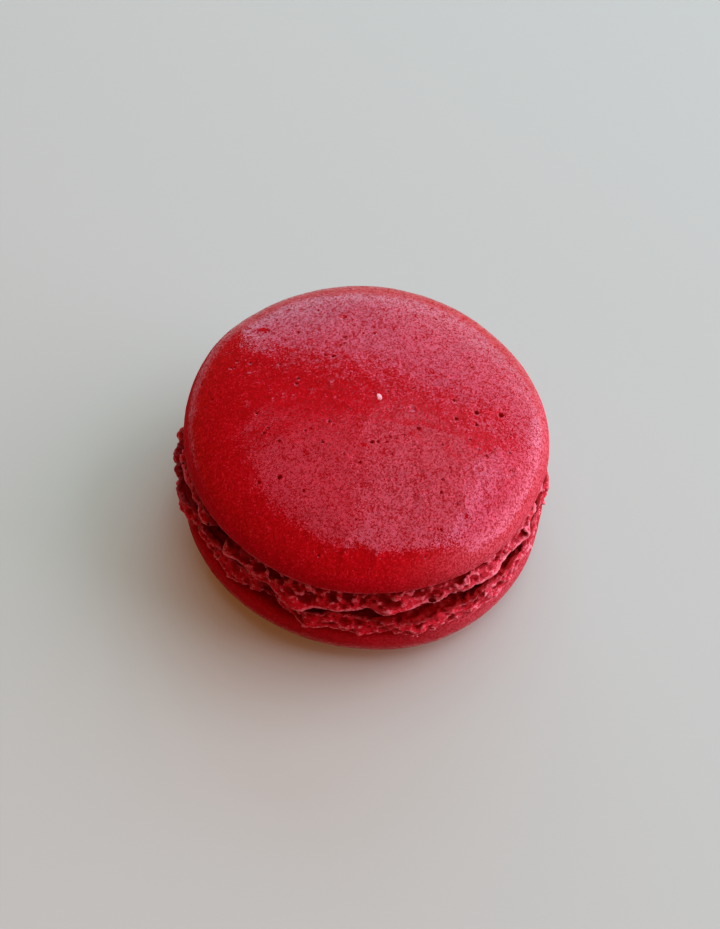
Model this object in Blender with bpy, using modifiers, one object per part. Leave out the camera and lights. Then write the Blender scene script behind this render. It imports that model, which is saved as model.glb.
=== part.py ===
"""A red macaron: two baked almond meringue shells, the lower one upside down, with a thin fruit filling.

Metres, +Z up. The origin is the middle of the flat spot that the macaron rests on, +X is the right of the
side it is seen from and -Y the front. Azimuths are degrees round +Z, so the front is at -90.
"""

import math
import random
from dataclasses import dataclass

import bmesh
import bpy
from mathutils import Matrix, Vector, noise

MM = 0.001

# Driving sizes
SHELL_RADIUS = 22.5 * MM         # out to the rim of a dome
FOOT_HEIGHT = 4.4 * MM           # from a shell's face on the filling to the rim of its dome
UPPER_RISE = 7.2 * MM            # from the rim to the crown
LOWER_RISE = 6.3 * MM
RESTING_RADIUS = 9.0 * MM        # flat spot under the lower shell
FACE_DISTANCE = 1.6 * MM         # between the two shells' faces, filling included
CLEARANCE = 0.3 * MM             # kept between touching pieces
UPPER_TILT = 0.8                 # degrees that the upper shell leans down towards the front
FILLING_RADIUS = 20.6 * MM       # the filling stays back from the edge
FACE_EDGE = 19.6 * MM            # a shell's face is flat out to here

# Heights that follow from them
LOWER_FACE = LOWER_RISE + FOOT_HEIGHT
UPPER_FACE = LOWER_FACE + FACE_DISTANCE

# Fineness of the turned shapes
SHELL_COLUMNS = 144
DOME_RINGS = 7
FOOT_RINGS = 9
FILLING_COLUMNS = 60


@dataclass
class Shell:
    """One baked shell. Heights inside a shell are measured from its face on the filling towards its crown."""

    name: str
    face: float                  # height of the face above the resting spot
    up: int                      # 1 where the dome is above the face, -1 where it is below
    rise: float
    plateau: float               # radius of the flat part of the crown
    fullness: float              # 2 makes the dome's section an ellipse, more makes it squarer
    oval: float                  # share by which it is longer from front to back
    oval_turn: float             # degrees that the long way is turned from there
    offset: tuple                # how far its middle lies from the middle of the resting spot
    edges: tuple                 # (azimuth, half width, reach) where its outline is fuller or flatter
    foot: tuple                  # (height, reach beyond the rim) down the side of the foot
    reaches: tuple               # (azimuth, half width, reach) where the foot stands out or is broken in
    droops: tuple                # (azimuth, half width, drop) where the edge on the filling hangs past the face
    lumps: tuple                 # (azimuth, radius, half width, height) of the soft lumps on the dome
    bubbles: tuple               # (azimuth, height, radius) of the largest bubbles that are open at the side
    small_bubbles: int           # further bubbles, spread by a seeded draw
    seed: int


UPPER = Shell(
    name="upper_shell",
    face=UPPER_FACE,
    up=1,
    rise=UPPER_RISE,
    plateau=0.0,
    fullness=2.1,
    oval=0.0133,
    oval_turn=10.0,
    offset=(-0.27, -0.17),
    edges=((-101, 14, 0.3), (-22, 16, -0.35), (150, 16, 0.25), (45, 18, -0.2)),
    foot=((3.8, -1.15), (3.1, -1.35), (2.2, -0.95), (1.3, -0.5), (0.6, -0.1), (0.2, 0.05)),
    reaches=((-147, 7, -2.3), (-128, 5, -0.3), (-106, 7, 0.4), (-86, 4, -0.35), (-77, 4, 0.4), (-68, 4, -0.3),
             (-52, 6, 0.3), (-38, 6, -0.3), (-26, 4, 0.3), (-8, 5, -0.4), (14, 8, 0.4), (48, 6, -0.7),
             (84, 9, 0.5), (123, 6, -0.7), (158, 8, 0.3), (-170, 6, 0.4)),
    droops=((-106, 14, 0.45), (-77, 5, 0.5), (-33, 8, 0.2), (30, 12, 0.3), (105, 10, 0.35), (165, 9, 0.3)),
    lumps=((99, 17.5, 4.0, 0.3), (-90, 17.5, 3.5, 0.15), (-35, 13.0, 6.0, 0.12), (160, 11.0, 5.0, -0.12),
           (0, 16.0, 3.0, -0.12)),
    bubbles=((-44, 2.6, 1.15), (-34, 2.5, 0.75), (-57, 2.7, 1.0), (-79, 1.7, 0.7), (-91, 1.7, 0.8),
             (-114, 1.9, 1.1), (-136, 2.0, 0.8)),
    small_bubbles=11,
    seed=4,
)

LOWER = Shell(
    name="lower_shell",
    face=LOWER_FACE,
    up=-1,
    rise=LOWER_RISE,
    plateau=RESTING_RADIUS,
    fullness=3.2,
    oval=0.0,
    oval_turn=0.0,
    offset=(0.1, 0.0),
    edges=((-66, 26, 0.45), (-10, 14, -0.3), (180, 20, 0.1)),
    foot=((3.8, -0.9), (3.4, -0.7), (2.9, 0.35), (2.1, 0.3), (1.3, 0.0), (0.6, -0.5), (0.15, -1.2)),
    reaches=((178, 14, 0.9), (-161, 7, 0.8), (-138, 9, -0.5), (-117, 5, -1.2), (-103, 4, 0.6),
             (-92, 4, -0.4), (-68, 7, 0.5), (-51, 6, 0.3), (-30, 5, -0.2), (-14, 12, -0.8), (14, 7, 0.3),
             (39, 7, -0.5), (68, 9, 0.5), (99, 5, -0.7), (130, 8, 0.4)),
    droops=((-160, 8, -0.4), (-118, 5, -0.6), (-30, 9, -0.2), (45, 9, -0.4), (118, 8, -0.3)),
    lumps=((-60, 20.0, 4.0, 0.15), (70, 19.0, 5.0, -0.15), (150, 20.0, 4.0, 0.15)),
    bubbles=((-64, 3.4, 0.8), (-60, 2.0, 0.7), (-33, 2.6, 0.9), (-118, 1.5, 1.1), (-96, 1.9, 0.75),
             (-152, 2.2, 0.8)),
    small_bubbles=11,
    seed=9,
)

# Swell and roughness of the feet, as (lumps round the ring, lumps in a foot's height, depth)
FOOT_SWELL = (6, 0.8, 0.35 * MM)
FOOT_CRAGS = (21, 2.4, 0.7 * MM)
FOOT_GRIT = (52, 6.0, 0.5 * MM)
BUBBLE_ROOM = 4.0                # degrees kept between two bubbles for each millimetre of their radii
LARGE_BUBBLE = 0.9               # millimetres of radius from which a bubble is cut with finer sides

# Materials: colour, roughness and metallic value
CRUST = ("baked_red_crust", (0.46, 0.016, 0.035, 1.0), 0.75, 0.0)
FRUIT = ("dark_fruit_filling", (0.10, 0.004, 0.018, 1.0), 0.35, 0.0)


def bell(distance, half_width):
    """1 where the distance is nothing, fading smoothly to nothing past about two half widths."""
    return math.exp(-((distance / half_width) ** 2))


def fade(value, start, end):
    """0 at the start and 1 at the end, smooth between them and level outside."""
    share = min(max((value - start) / (end - start), 0.0), 1.0)
    return share * share * (3 - 2 * share)


def degrees_between(azimuth, centre):
    return (azimuth - centre + 180) % 360 - 180


def between(points, value):
    """Straight-line reading of a short list of (place, amount) points whose places fall."""
    for (high, first), (low, second) in zip(points, points[1:]):
        if value >= low:
            share = min(max((high - value) / (high - low), 0.0), 1.0)
            return first + share * (second - first)
    return points[-1][1]


def ring_noise(azimuth, height, layer, seed):
    """Seamless noise round the ring, of the given (lumps round, lumps up, depth)."""
    lumps_round, lumps_up, depth = layer
    turn = math.radians(azimuth)
    scale = lumps_round / 4
    place = Vector((scale * math.cos(turn), scale * math.sin(turn), lumps_up * height / FOOT_HEIGHT + 10 * seed))
    return depth * noise.noise(place)


def dome_outline(shell):
    """Rings of the dome as (radius, height), from the edge of its level top to its rim."""
    rings = []
    for step in range(DOME_RINGS + 1):
        turn = math.pi / 2 * (1 - step / DOME_RINGS)
        out = max(math.cos(turn), 0.0) ** (2 / shell.fullness)
        high = math.sin(turn) ** (2 / shell.fullness)
        rings.append((shell.plateau + (SHELL_RADIUS - shell.plateau) * out, FOOT_HEIGHT + shell.rise * high))
    return rings


def foot_outline(shell):
    """Rings down the side of the foot as (radius, height), from under the rim to the face."""
    top = shell.foot[0][0] * MM
    bottom = shell.foot[-1][0] * MM
    rings = []
    for step in range(FOOT_RINGS + 1):
        height = top + (bottom - top) * step / FOOT_RINGS
        rings.append((SHELL_RADIUS + between(shell.foot, height / MM) * MM, height))
    return rings


def half_section(shell):
    """Half the shell cut through its middle, from the crown round the edge to the middle of the face."""
    outline = dome_outline(shell)
    if shell.plateau:
        outline.insert(0, (0.0, outline[0][1]))
    outline += foot_outline(shell)
    outline += [(FACE_EDGE, 0.0), (FACE_EDGE / 2, 0.0), (0.0, 0.0)]
    return outline


def relief(shell, azimuth, radius, height):
    """How far a point of the plain turned shell moves outwards and towards the crown."""
    outline = -shell.oval * SHELL_RADIUS * math.cos(2 * math.radians(azimuth - shell.oval_turn))
    outline += sum(amount * MM * bell(degrees_between(azimuth, at), wide) for at, wide, amount in shell.edges)
    outwards = outline * (radius / SHELL_RADIUS) ** 2
    upwards = 0.0

    if height >= FOOT_HEIGHT:
        turn = math.radians(azimuth)
        for lump_azimuth, lump_radius, half_width, lump_height in shell.lumps:
            lump_turn = math.radians(lump_azimuth)
            across = radius / MM * math.cos(turn) - lump_radius * math.cos(lump_turn)
            along = radius / MM * math.sin(turn) - lump_radius * math.sin(lump_turn)
            upwards += lump_height * MM * bell(math.hypot(across, along), half_width)
        if shell.plateau:
            upwards *= fade(radius, shell.plateau, shell.plateau + 6 * MM)
        return outwards, upwards

    on_side = fade(radius, FACE_EDGE, FACE_EDGE + 1.2 * MM)
    reach = sum(amount * MM * bell(degrees_between(azimuth, at), wide) for at, wide, amount in shell.reaches)
    for layer in (FOOT_SWELL, FOOT_CRAGS, FOOT_GRIT):
        reach += ring_noise(azimuth, height, layer, shell.seed)
    under_rim = fade(height, FOOT_HEIGHT, FOOT_HEIGHT - 1.0 * MM)
    outwards += reach * on_side * under_rim

    drop = sum(amount * MM * bell(degrees_between(azimuth, at), wide) for at, wide, amount in shell.droops)
    drop += 0.5 * ring_noise(azimuth, 0.0, FOOT_CRAGS, shell.seed + 1)
    at_edge = fade(radius, FACE_EDGE + 2.0 * MM, SHELL_RADIUS) * fade(height, 2.2 * MM, 0.3 * MM)
    upwards -= drop * at_edge
    return outwards, upwards


def turned_mesh(name, outline, columns, collection):
    """A closed mesh from an outline of (radius, height) that runs down its outer side from axis to axis."""
    profile = bpy.data.meshes.new(name + "_outline")
    edges = [(index, index + 1) for index in range(len(outline) - 1)]
    profile.from_pydata([(radius, 0.0, height) for radius, height in outline], edges, [])
    turned = bpy.data.objects.new(name + "_turned", profile)
    collection.objects.link(turned)
    screw = turned.modifiers.new("turn", "SCREW")
    screw.axis = "Z"
    screw.angle = 2 * math.pi
    screw.steps = columns
    screw.render_steps = columns
    screw.use_merge_vertices = True
    screw.merge_threshold = 0.000001
    depsgraph = bpy.context.evaluated_depsgraph_get()
    mesh = bpy.data.meshes.new_from_object(turned.evaluated_get(depsgraph))
    mesh.name = name
    bpy.data.objects.remove(turned, do_unlink=True)
    bpy.data.meshes.remove(profile)
    return mesh


def reshape(mesh, move):
    """Moves every point of a mesh by a function of its place, and splits the faces into triangles."""
    shape = bmesh.new()
    shape.from_mesh(mesh)
    bmesh.ops.remove_doubles(shape, verts=shape.verts, dist=0.000001)
    for vert in shape.verts:
        vert.co = move(vert.co)
    bmesh.ops.triangulate(shape, faces=shape.faces)
    shape.to_mesh(mesh)
    shape.free()
    mesh.shade_smooth()
    mesh.set_sharp_from_angle(angle=math.radians(50))


def shell_point(shell, place):
    """Where a point of the plain turned shell ends up on the baked one."""
    radius = math.hypot(place.x, place.y)
    height = shell.up * (place.z - shell.face)
    if radius == 0.0:
        return place
    azimuth = math.degrees(math.atan2(place.y, place.x))
    outwards, upwards = relief(shell, azimuth, radius, height)
    stretch = (radius + outwards) / radius
    return Vector((place.x * stretch, place.y * stretch, place.z + shell.up * upwards))


def bubble_places(shell):
    """(azimuth, height, radius) of each open bubble: the large ones, then others clear of them and of each other."""
    places = list(shell.bubbles)
    draw = random.Random(shell.seed)
    wanted = len(places) + shell.small_bubbles
    while len(places) < wanted:
        azimuth = draw.uniform(-180, 180)
        height = draw.uniform(1.4, 2.8)
        radius = draw.uniform(0.6, 1.0)
        if all(abs(degrees_between(azimuth, at)) > BUBBLE_ROOM * (radius + size) for at, _, size in places):
            places.append((azimuth, height, radius))
    return places


def bubble_cutters(shell, collection):
    """One object of separate uneven balls, each sunk into the side of the foot by most of its radius."""
    balls = bmesh.new()
    draw = random.Random(shell.seed)
    for azimuth, height, radius in bubble_places(shell):
        surface = SHELL_RADIUS + between(shell.foot, height) * MM
        outwards, upwards = relief(shell, azimuth, surface, height * MM)
        middle = surface + outwards + 0.2 * radius * MM
        turn = math.radians(azimuth)
        place = Vector((middle * math.cos(turn), middle * math.sin(turn),
                        shell.face + shell.up * (height * MM + upwards)))
        spin = Matrix.Rotation(draw.uniform(0, math.pi), 4, "X") @ Matrix.Rotation(draw.uniform(0, math.pi), 4, "Z")
        uneven = Matrix.Diagonal((1.0, draw.uniform(1.0, 1.35), draw.uniform(0.7, 1.0), 1.0))
        sides = 2 if radius > LARGE_BUBBLE else 1
        bmesh.ops.create_icosphere(balls, subdivisions=sides, radius=radius * MM,
                                   matrix=Matrix.Translation(place) @ Matrix.Rotation(turn, 4, "Z") @ uneven @ spin)
    mesh = bpy.data.meshes.new(shell.name + "_bubbles")
    balls.to_mesh(mesh)
    balls.free()
    cutters = bpy.data.objects.new(shell.name + "_bubbles", mesh)
    cutters.hide_render = True
    cutters.display_type = "WIRE"
    collection.objects.link(cutters)
    return cutters


def plain_material(name, colour, roughness, metallic):
    material = bpy.data.materials.new(name)
    material.use_nodes = True
    surface = material.node_tree.nodes["Principled BSDF"]
    surface.inputs["Base Color"].default_value = colour
    surface.inputs["Roughness"].default_value = roughness
    surface.inputs["Metallic"].default_value = metallic
    return material


def baked_shell(shell, material, pieces, cutters):
    """A shell with its craggy foot and the bubbles that broke open at its side."""
    outline = [(radius, shell.face + shell.up * height) for radius, height in half_section(shell)]
    if shell.up < 0:
        outline.reverse()
    mesh = turned_mesh(shell.name, outline, SHELL_COLUMNS, pieces)
    reshape(mesh, lambda place: shell_point(shell, place))
    baked = bpy.data.objects.new(shell.name, mesh)
    baked.data.materials.append(material)
    pieces.objects.link(baked)
    cut = baked.modifiers.new("open_bubbles", "BOOLEAN")
    cut.operation = "DIFFERENCE"
    cut.solver = "EXACT"
    cut.object = bubble_cutters(shell, cutters)
    return baked


def filling_point(place):
    """Where a point of the plain filling disc ends up: an uneven outline, with the top following the tilt."""
    radius = math.hypot(place.x, place.y)
    azimuth = math.degrees(math.atan2(place.y, place.x))
    bulge = 0.9 * MM * bell(degrees_between(azimuth, -54), 9) + ring_noise(azimuth, 0.0, (14, 0, 0.9 * MM), 3)
    stretch = 1 + bulge * fade(radius, 0.6 * FILLING_RADIUS, FILLING_RADIUS) / max(radius, MM)
    lean = math.tan(math.radians(UPPER_TILT)) * place.y * stretch
    share = (place.z - LOWER_FACE - CLEARANCE) / (FACE_DISTANCE - 2 * CLEARANCE)
    return Vector((place.x * stretch, place.y * stretch, place.z + share * lean))


def filling_disc(material, pieces):
    """The thin layer of filling, with a rounded edge, clear of both faces."""
    bottom = LOWER_FACE + CLEARANCE
    top = UPPER_FACE - CLEARANCE
    round_edge = (top - bottom) / 2
    outline = [(0.0, top), (FILLING_RADIUS / 2, top)]
    for step in range(7):
        turn = math.pi * step / 6
        outline.append((FILLING_RADIUS - round_edge * (1 - math.sin(turn)),
                        (top + bottom) / 2 + round_edge * math.cos(turn)))
    outline += [(FILLING_RADIUS / 2, bottom), (0.0, bottom)]
    mesh = turned_mesh("filling", outline, FILLING_COLUMNS, pieces)
    reshape(mesh, filling_point)
    disc = bpy.data.objects.new("filling", mesh)
    disc.data.materials.append(material)
    pieces.objects.link(disc)
    return disc


def set_place(shell, baked, cutters, lean):
    """Puts a shell and its bubble cutters in their place."""
    across, along = shell.offset
    place = Matrix.Translation((across * MM, along * MM, 0.0)) @ lean
    baked.matrix_world = place
    cutters.objects[shell.name + "_bubbles"].matrix_world = place


def macaron():
    for leftover in list(bpy.data.objects):
        bpy.data.objects.remove(leftover, do_unlink=True)
    pieces = bpy.data.collections.new("macaron")
    cutters = bpy.data.collections.new("macaron_cutters")
    bpy.context.scene.collection.children.link(pieces)
    bpy.context.scene.collection.children.link(cutters)
    crust = plain_material(*CRUST)
    fruit = plain_material(*FRUIT)

    lower = baked_shell(LOWER, crust, pieces, cutters)
    filling_disc(fruit, pieces)
    upper = baked_shell(UPPER, crust, pieces, cutters)

    # Each shell lies a little off the middle, and the upper one leans about the middle of its face
    lean = Matrix.Rotation(math.radians(UPPER_TILT), 4, "X")
    middle = Matrix.Translation((0.0, 0.0, UPPER_FACE))
    set_place(LOWER, lower, cutters, Matrix.Identity(4))
    set_place(UPPER, upper, cutters, middle @ lean @ middle.inverted())


macaron()
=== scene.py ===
import math
from dataclasses import dataclass

import bmesh
import bpy
import numpy as np
from mathutils import Matrix, Vector, noise


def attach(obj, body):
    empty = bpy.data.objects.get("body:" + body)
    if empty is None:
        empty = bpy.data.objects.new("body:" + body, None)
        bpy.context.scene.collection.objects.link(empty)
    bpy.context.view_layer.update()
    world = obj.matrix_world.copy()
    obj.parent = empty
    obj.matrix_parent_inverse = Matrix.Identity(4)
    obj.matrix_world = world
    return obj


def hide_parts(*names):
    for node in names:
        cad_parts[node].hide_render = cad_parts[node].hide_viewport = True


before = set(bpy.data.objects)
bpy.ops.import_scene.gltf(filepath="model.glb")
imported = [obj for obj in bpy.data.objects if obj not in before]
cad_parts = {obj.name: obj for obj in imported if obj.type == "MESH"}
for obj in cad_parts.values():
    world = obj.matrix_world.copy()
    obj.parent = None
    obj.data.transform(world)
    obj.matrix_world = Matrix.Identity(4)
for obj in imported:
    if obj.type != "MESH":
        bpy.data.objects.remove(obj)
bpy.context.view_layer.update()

# Crust of the lower shell
# The lower shell lies upside down. Its smooth skin of almond meringue dried before baking, and
# holds the crumb inside; it is fixed to nothing but the shell's own foot, which grew out under its rim.
# Sizes are millimetres, and heights inside a shell run from its face on the filling towards its crown.

MM = 0.001
SHELL_RADIUS = 22.5
FOOT_HEIGHT = 4.4
FACE_EDGE = 19.6
RIM_TUCK = 1.0           # how far the skin turns in under its rim
RIM_THICKNESS = 0.62
EDGE_LINE_BELOW = 0.12   # the rim's driest, palest line lies this far round from its widest place
EDGE_LINE_WIDTH = 0.14


@dataclass
class Shell:
    """One baked shell, with the lists that say where its edge and foot depart from an even ring."""

    name: str
    face: float                  # height of its face on the filling above the resting spot
    up: int                      # 1 where the dome is above the face, -1 where it is below
    rise: float                  # from the rim to the crown
    plateau: float               # radius of the flat part of the crown
    fullness: float              # 2 makes the dome's section an ellipse, more makes it squarer
    oval: float                  # share by which it is longer from front to back
    oval_turn: float             # degrees that the long way is turned from there
    offset: tuple                # how far its middle lies from the middle of the resting spot
    tilt: float                  # degrees that it leans down towards the front
    matte: tuple                 # steepness of the skin where its gloss starts to fail, and is gone
    painted_side_light: tuple                 # (azimuth, half width, share) where its side is painted paler pink, as painted sheen of the windows' light
    painted_rim_light: tuple             # the same, painted sheen only on the steep skin by the rim
    edges: tuple                 # (azimuth, half width, reach) where its outline is fuller or flatter
    lumps: tuple                 # (azimuth, radius, half width, height) of the soft lumps on the dome
    foot: tuple                  # (height, reach beyond the rim) down the side of the foot
    reaches: tuple               # (azimuth, half width, reach) where the foot stands out or is broken in
    droops: tuple                # (azimuth, half width, drop) where the edge on the filling hangs down
    undercut: tuple              # (azimuth, half width, depth) where the face is hollowed behind its edge
    gap_shade_height: float                 # height up from the face over which the crumb is painted darker, as painted shade in the gap between the shells
    seed: int


lower = Shell(
    name="lower",
    face=10.7,
    up=-1,
    rise=6.3,
    plateau=9.0,
    fullness=3.2,
    oval=0.0,
    oval_turn=0.0,
    offset=(0.1, 0.0),
    tilt=0.0,
    matte=(0.7, 1.0),
    painted_side_light=((-35, 32, 0.9),),
    painted_rim_light=(),
    edges=((-66, 26, 0.45), (-10, 14, -0.3), (180, 20, 0.1)),
    lumps=((-60, 20.0, 4.0, 0.15), (70, 19.0, 5.0, -0.15), (150, 20.0, 4.0, 0.15)),
    foot=((3.8, -0.9), (3.3, -0.7), (2.7, 0.4), (2.1, 0.25), (1.3, 0.05), (0.6, -0.1), (0.1, -0.3)),
    reaches=((178, 14, 0.9), (-161, 7, 0.8), (-138, 9, -0.5), (-117, 5, -1.2), (-103, 4, 0.6),
             (-92, 4, -0.4), (-68, 7, 0.5), (-51, 6, 0.3), (-30, 5, -0.2), (-14, 12, -0.8), (14, 7, 0.3),
             (39, 7, -0.5), (68, 9, 0.5), (99, 5, -0.7), (130, 8, 0.4)),
    droops=((-160, 8, -0.4), (-118, 5, -0.6), (-52, 10, 0.3), (-26, 16, 0.45), (45, 9, -0.4),
            (118, 8, -0.3)),
    undercut=((-105, 45, 0.6), (150, 60, 0.4)),
    gap_shade_height=0.7,
    seed=9,
)


def bell(distance, half_width):
    return np.exp(-((distance / half_width) ** 2))


def fade(value, start, end):
    """0 at the start and 1 at the end, smooth between them."""
    share = np.clip((value - start) / (end - start), 0, 1)
    return share * share * (3 - 2 * share)


def degrees_between(azimuth, centre):
    return (azimuth - centre + 180) % 360 - 180


def along_ring(spots, azimuth):
    """Sum of the (azimuth, half width, amount) spots at each azimuth."""
    return sum(amount * bell(degrees_between(azimuth, at), wide) for at, wide, amount in spots)


def outline(shell, azimuth):
    """How far the shell's outline stands out from a circle."""
    ellipse = -shell.oval * SHELL_RADIUS * np.cos(2 * np.radians(azimuth - shell.oval_turn))
    return ellipse + along_ring(shell.edges, azimuth)


def rough(points, size, seed):
    """Soft noise, from about -1 to 1, with lumps of about the given size."""
    shift = Vector((seed * 7.3, seed * 3.1, seed * 5.7))
    return np.array([noise.noise(Vector(point) / size + shift) for point in points.tolist()])


def placed(shell, across, along, height):
    """Points of a shell in its place on the table, in metres."""
    lean = math.radians(shell.tilt)
    high = shell.up * height
    x = across + shell.offset[0]
    y = along * math.cos(lean) - high * math.sin(lean) + shell.offset[1]
    z = shell.face + along * math.sin(lean) + high * math.cos(lean)
    return np.stack([x, y, z], -1) * MM


def ringed_disc(rings):
    """A disc of even triangles as (ring number, azimuth) of its points, and the triangles."""
    ring = [0]
    turn = [0.0]
    faces = []
    for outer in range(1, rings + 1):
        around = 6 * outer
        first = 1 + 3 * outer * (outer - 1)
        ring += [outer] * around
        turn += [math.tau * step / around for step in range(around)]
        inner_first = first - 6 * (outer - 1) if outer > 1 else 0
        inner_around = max(6 * (outer - 1), 1)
        for sector in range(6):
            for step in range(outer):
                out_a = first + (sector * outer + step) % around
                out_b = first + (sector * outer + step + 1) % around
                in_a = inner_first + (sector * (outer - 1) + step) % inner_around
                faces.append((in_a, out_a, out_b))
                if step < outer - 1:
                    in_b = inner_first + (sector * (outer - 1) + step + 1) % inner_around
                    faces.append((in_a, out_b, in_b))
    return np.array(ring), np.array(turn), faces


def dome_section(shell):
    """Radii and heights down the skin's section, from the crown to where it has turned in under the rim."""
    turn = np.linspace(np.pi / 2, 0, 500)
    out = shell.plateau + (SHELL_RADIUS - shell.plateau) * np.cos(turn) ** (2 / shell.fullness)
    high = FOOT_HEIGHT + shell.rise * np.sin(turn) ** (2 / shell.fullness)
    tuck = np.linspace(0, np.pi / 2, 40)[1:]
    out = np.concatenate([[0.0], out, SHELL_RADIUS - RIM_TUCK * (1 - np.cos(tuck))])
    high = np.concatenate([[high[0]], high, FOOT_HEIGHT - RIM_THICKNESS * np.sin(tuck)])
    return out, high


def skin_mesh(shell, rings, pits, bumps, creases):
    """The skin of a shell with its lumps, creases, pits and bumps, closed by a flat hidden bottom."""
    ring, turn, faces = ringed_disc(rings)
    out, high = dome_section(shell)
    length = np.concatenate([[0], np.cumsum(np.hypot(np.diff(out), np.diff(high)))])
    share = ring / rings * length[-1]
    rim_share = np.interp(FOOT_HEIGHT, high[::-1], length[::-1])
    edge_line = bell(share - rim_share - EDGE_LINE_BELOW, EDGE_LINE_WIDTH) * (shell.up > 0)
    radius = np.interp(share, length, out)
    height = np.interp(share, length, high)
    step = 0.05
    slope_out = np.interp(share + step, length, out) - np.interp(share - step, length, out)
    slope_high = np.interp(share + step, length, high) - np.interp(share - step, length, high)
    steep = np.hypot(slope_out, slope_high)
    face_out = -slope_high / steep
    face_up = slope_out / steep

    azimuth = np.degrees(turn)
    matted = fade(1 - face_up, *shell.matte)
    # Painted sheen: the sides towards the windows are marked to be painted paler pink.
    side_lit = along_ring(shell.painted_side_light, azimuth) * fade(1 - face_up, 0.1, 0.28)
    side_lit = side_lit + along_ring(shell.painted_rim_light, azimuth) * matted
    radius = radius + outline(shell, azimuth) * (radius / SHELL_RADIUS) ** 2
    across = radius * np.cos(turn)
    along = radius * np.sin(turn)
    for lump_azimuth, lump_radius, half_width, lump_height in shell.lumps:
        lump_x = lump_radius * math.cos(math.radians(lump_azimuth))
        lump_y = lump_radius * math.sin(math.radians(lump_azimuth))
        lump = lump_height * bell(np.hypot(across - lump_x, along - lump_y), half_width)
        level = fade(radius, shell.plateau, shell.plateau + 6) if shell.plateau else 1.0
        height = height + lump * level * fade(height, FOOT_HEIGHT - 0.1, FOOT_HEIGHT + 0.6)

    points = np.stack([across, along, height], -1)
    swell = 0.07 * rough(points, 6.0, shell.seed) + 0.035 * rough(points, 2.2, shell.seed + 1)
    swell += 0.009 * rough(points, 0.8, shell.seed + 2) + creases(across, along)
    # The deeper pits are marked to be painted darker, as painted shade in them.
    pitted = np.zeros(len(points))
    sunk = np.zeros(len(points))
    for x, y, size, depth in pits:
        away = np.hypot(across - x, along - y) / size
        sunk = np.maximum(sunk, depth * (1 - fade(away, 0.25, 1.0)))
        pitted = np.maximum(pitted, fade(depth / size, 0.3, 0.6) * (1 - fade(away, 0.5, 1.2)))
    for x, y, size, tall in bumps:
        swell += tall * bell(np.hypot(across - x, along - y), size)
    on_dome = fade(height, FOOT_HEIGHT - 0.3, FOOT_HEIGHT + 0.5)
    resting = 1 - fade(radius, shell.plateau - 0.5, shell.plateau + 2.5) if shell.plateau else 0.0
    moved = (swell * (1 - resting) - sunk) * on_dome
    wavy = 0.1 * rough(np.stack([across, along, 0 * along], -1), 1.6, shell.seed + 3) * (1 - on_dome)
    across = across + (face_out * moved + wavy) * np.cos(turn)
    along = along + (face_out * moved + wavy) * np.sin(turn)
    height = height + face_up * moved + 0.5 * wavy
    if shell.plateau:
        height = np.minimum(height, FOOT_HEIGHT + shell.rise)

    last = np.flatnonzero(ring == rings)
    bottom = 0.86
    inner = np.arange(len(last)) + len(ring)
    across = np.concatenate([across, across[last] * bottom])
    along = np.concatenate([along, along[last] * bottom])
    height = np.concatenate([height, np.full(len(last), FOOT_HEIGHT - 0.4)])
    around = np.roll(np.arange(len(last)), -1)
    for here, there in enumerate(around.tolist()):
        faces.append((int(last[here]), int(inner[here]), int(inner[there]), int(last[there])))
    faces.append(inner.tolist()[::-1])
    mesh = bpy.data.meshes.new(shell.name + "_crust")
    if shell.up < 0:
        faces = [face[::-1] for face in faces]
    mesh.from_pydata(placed(shell, across, along, height).tolist(), [], faces)
    mesh.shade_smooth()
    for name, values in (("pit", pitted), ("matte", matted), ("edge_line", edge_line), ("painted_side_light", side_lit)):
        attribute = mesh.attributes.new(name, "FLOAT", "POINT")
        with_bottom = np.concatenate([values, np.zeros(len(inner))])
        attribute.data.foreach_set("value", with_bottom.astype(np.float32))
    return mesh


class Wire:
    """An output socket of a finish. Sums on it add Math nodes, and node() adds any other node."""

    def __init__(self, tree, socket=None):
        self.tree = tree
        self.socket = socket

    def node(self, kind, settings, sockets, output=0):
        made = self.tree.nodes.new(kind)
        for name, setting in settings.items():
            setattr(made, name, setting)
        for place, value in sockets.items():
            if isinstance(value, Wire):
                self.tree.links.new(value.socket, made.inputs[place])
            else:
                made.inputs[place].default_value = value
        return Wire(self.tree, made.outputs[output])

    def maths(self, operation, first, second):
        return self.node("ShaderNodeMath", {"operation": operation}, {0: first, 1: second})

    def vectors(self, operation, other=(0.0, 0.0, 0.0)):
        return self.node("ShaderNodeVectorMath", {"operation": operation}, {0: self, 1: other})

    def at_most(self, other):
        return self.maths("MINIMUM", self, other)

    def __add__(self, other):
        return self.maths("ADD", self, other)

    __radd__ = __add__

    def __sub__(self, other):
        return self.maths("SUBTRACT", self, other)

    def __rsub__(self, other):
        return self.maths("SUBTRACT", other, self)

    def __mul__(self, other):
        return self.maths("MULTIPLY", self, other)

    __rmul__ = __mul__

    def fade(self, start, end):
        """0 at the start and 1 at the end, smooth between them."""
        return self.node("ShaderNodeMapRange", {"interpolation_type": "SMOOTHSTEP"},
                         {"Value": self, "From Min": start, "From Max": end})


def new_finish(name):
    """A material whose surface is a Principled shader, with its first wire and the shader."""
    material = bpy.data.materials.new(name)
    material.use_nodes = True
    tree = material.node_tree
    return material, Wire(tree), tree.nodes["Principled BSDF"]


def speckle(start, place, per_mm, detail, rough_share):
    """Noise with so many lumps to a millimetre."""
    return start.node("ShaderNodeTexNoise", {},
                      {"Vector": place, "Scale": per_mm / MM, "Detail": detail, "Roughness": rough_share})


def mixed(share, first, second):
    return share.node("ShaderNodeMix", {"data_type": "RGBA"}, {"Factor": share, "A": first, "B": second}, 2)


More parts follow.
